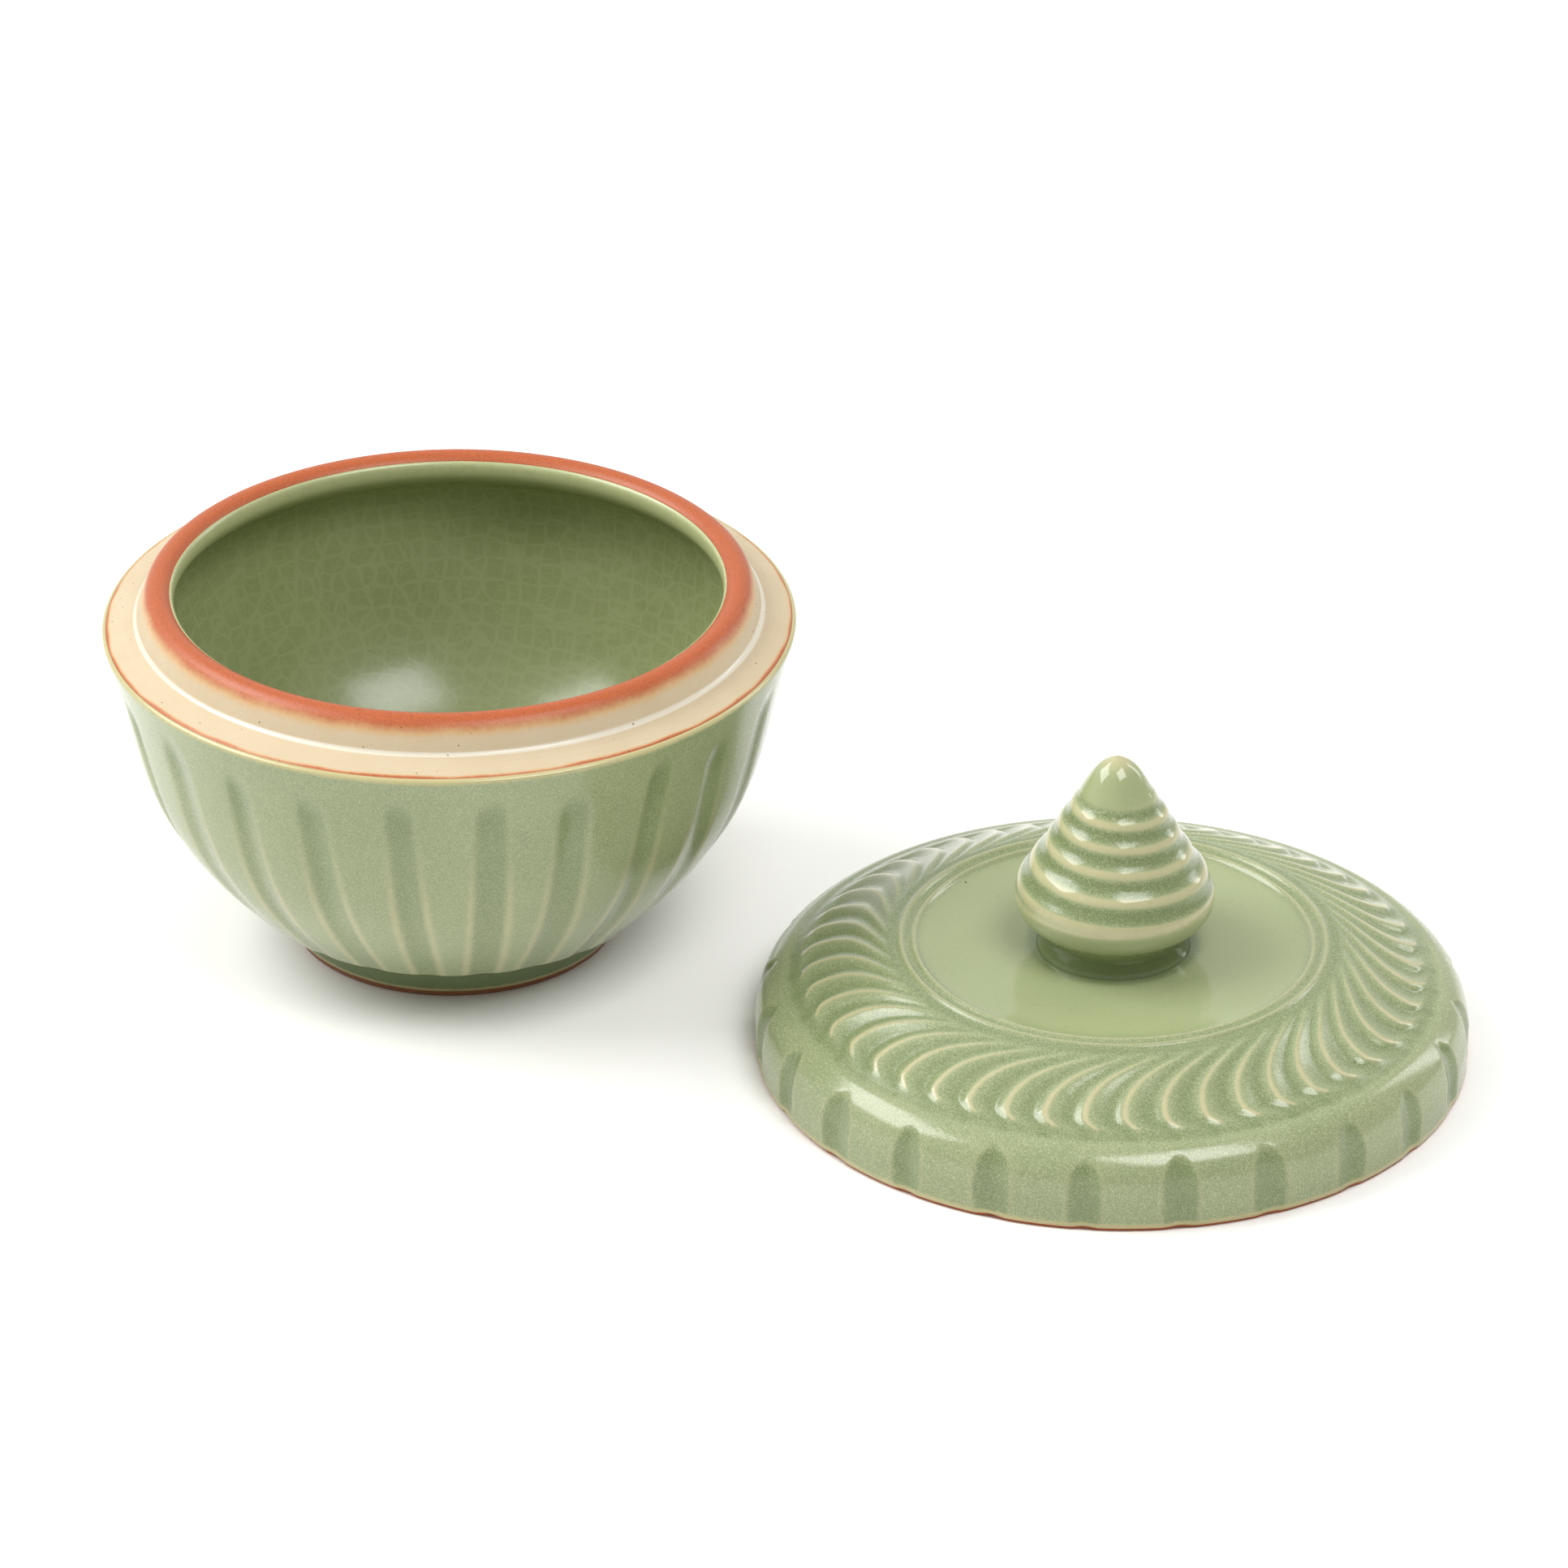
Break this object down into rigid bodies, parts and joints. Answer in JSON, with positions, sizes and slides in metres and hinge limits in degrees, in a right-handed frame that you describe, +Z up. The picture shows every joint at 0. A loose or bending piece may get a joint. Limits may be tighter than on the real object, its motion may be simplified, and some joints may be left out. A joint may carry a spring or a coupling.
{
  "type": "lidded rice bowl",
  "caption": "Round fluted stoneware bowl on a low foot, with a bare neck that locates a domed lid; the lid has a swirl of ridges and a spiral cone knob and lies beside the bowl.",
  "frame": {"origin": "centre of the bowl's foot, on the level that the foot and the lid's rim both rest on", "axes": "+Z up along the bowl's axis; +X from the bowl's axis to the lid's axis, the longest extent; +Y by the right-hand rule"},
  "size_m": [0.2714, 0.1358, 0.0745],
  "materials": {
    "bare_stoneware": "matte bare stoneware, cream with an orange flash at the lip, the shoulder's edge and the foot",
    "knob_clay": "matte stoneware, wholly covered by glaze",
    "celadon_outside": "glossy light celadon, darker where it pools in the carving and cream where it thins on the crests",
    "celadon_inside": "glossy olive celadon with a fine crackle"
  },
  "bodies": {
    "bowl": {"bowl_body": "bare_stoneware", "bowl_outer_glaze": "celadon_outside", "bowl_inner_glaze": "celadon_inside", "foot_well_glaze": "celadon_outside"},
    "lid": {"lid_body": "bare_stoneware", "lid_outer_glaze": "celadon_outside", "lid_inner_glaze": "celadon_inside", "knob": "knob_clay", "knob_glaze": "celadon_outside"}
  },
  "joints": [
    {"name": "lid_lift", "type": "slide", "parent": "bowl", "child": "lid", "axis": [0, 0, 1], "range_m": [0, 0.12]}
  ]
}
